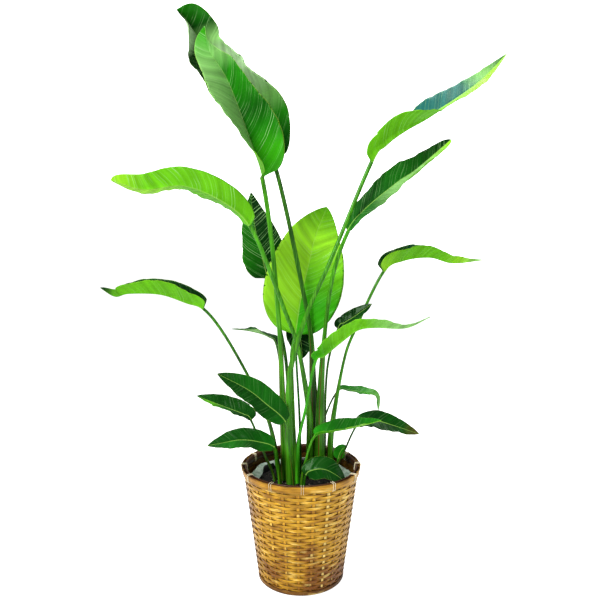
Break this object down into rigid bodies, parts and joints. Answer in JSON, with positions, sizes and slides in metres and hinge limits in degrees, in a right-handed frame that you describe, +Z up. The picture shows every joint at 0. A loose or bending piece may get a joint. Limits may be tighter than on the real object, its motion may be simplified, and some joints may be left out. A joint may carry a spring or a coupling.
{
  "type": "potted bird of paradise plant",
  "caption": "Tall leafy bird of paradise plant in a nursery pot, standing in a tapered woven bamboo basket with a hooped, lashed rim.",
  "frame": {"origin": "middle of the basket's flat underside, on the floor it stands on", "axes": "+Z up through the middle of the basket, -Y to the front that the picture shows, +X to the right seen from the front"},
  "size_m": [0.9758, 0.3034, 1.3738],
  "materials": {
    "bamboo_weave": "flat split-bamboo strips, satin, golden tan with reddish patches",
    "rim_bamboo": "wide split-bamboo hoop, satin, a little darker than the weave",
    "dark_bamboo": "thin dark brown bamboo hoop, matt",
    "pale_cane": "pale peeled cane strip, smooth",
    "plastic_film": "crumpled pale grey-green translucent polythene film",
    "black_plastic": "thin black nursery-pot plastic, slightly glossy",
    "potting_soil": "loose dark compost of bark and coir",
    "leaf_green": "waxy green leaf, semi-gloss upper face, lighter underside, fine parallel veins",
    "leaf_bright": "young or underside-lit leaf, bright yellow-green, semi-gloss",
    "leaf_dark": "mature leaf in shade, dark blue-green, semi-gloss"
  },
  "bodies": {
    "root": {"basket_weave": "bamboo_weave", "foot_hoop": "dark_bamboo", "rim_outer_hoop": "rim_bamboo", "rim_inner_hoop": "rim_bamboo", "rim_lashing_1": "pale_cane", "rim_lashing_2": "pale_cane", "rim_lashing_3": "pale_cane", "rim_lashing_4": "pale_cane", "rim_lashing_5": "pale_cane", "rim_lashing_6": "pale_cane", "rim_lashing_7": "pale_cane", "rim_lashing_8": "pale_cane", "rim_lashing_9": "pale_cane", "rim_lashing_10": "pale_cane", "rim_lashing_11": "pale_cane", "rim_lashing_12": "pale_cane", "film_bag": "plastic_film", "nursery_pot": "black_plastic", "potting_soil": "potting_soil", "leaf_top_front": "leaf_green", "leaf_top_back": "leaf_green", "leaf_left_upper": "leaf_bright", "leaf_right_top": "leaf_bright", "leaf_right_second": "leaf_dark", "leaf_centre_bright": "leaf_bright", "leaf_dark_back_left": "leaf_dark", "leaf_left_middle": "leaf_bright", "leaf_left_thin": "leaf_dark", "leaf_centre_hanging": "leaf_dark", "leaf_low_left_front": "leaf_dark", "leaf_low_left_back": "leaf_dark", "leaf_low_left": "leaf_dark", "leaf_right_cupped": "leaf_bright", "leaf_right_dark": "leaf_dark", "leaf_right_arching": "leaf_bright", "leaf_right_folded": "leaf_green", "leaf_low_right_back": "leaf_dark", "leaf_low_right_front": "leaf_dark", "leaf_at_rim": "leaf_dark", "young_shoot": "leaf_bright"}
  },
  "joints": []
}
